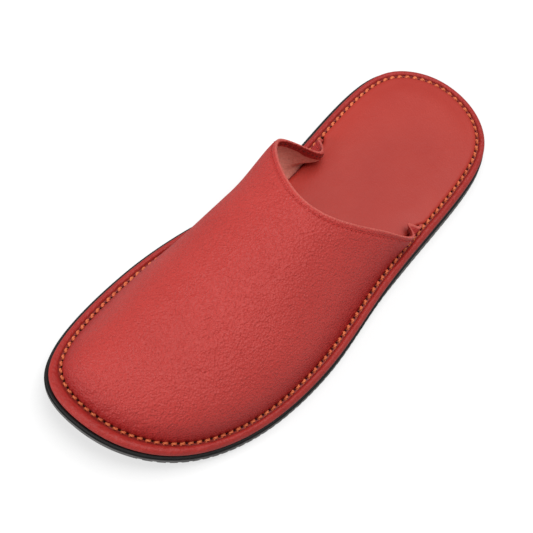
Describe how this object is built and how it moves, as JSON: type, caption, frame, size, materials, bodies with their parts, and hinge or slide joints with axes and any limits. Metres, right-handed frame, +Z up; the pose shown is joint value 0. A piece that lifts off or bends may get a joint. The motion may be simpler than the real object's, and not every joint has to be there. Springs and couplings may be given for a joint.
{
  "type": "babouche slipper",
  "caption": "Flat backless leather house slipper: one-piece vamp with a hemmed throat, stitched rolled rim, padded insole and black rubber sole with toe spring.",
  "frame": {"origin": "on the floor, below the middle of the sole's bounding box", "axes": "+Y towards the heel, -Y towards the toe, -X towards the inner (medial) side of the foot, +Z up"},
  "size_m": [0.1122, 0.285, 0.0588],
  "materials": {
    "rubber": "matt black rubber",
    "rim_leather": "smooth red leather, semi-matt",
    "insole_leather": "smooth red leather over padding",
    "upper_leather": "fine pebbled red leather, semi-matt"
  },
  "bodies": {
    "root": {"outsole": "rubber", "midsole": "rim_leather", "insole": "insole_leather", "upper": "upper_leather"}
  },
  "joints": []
}
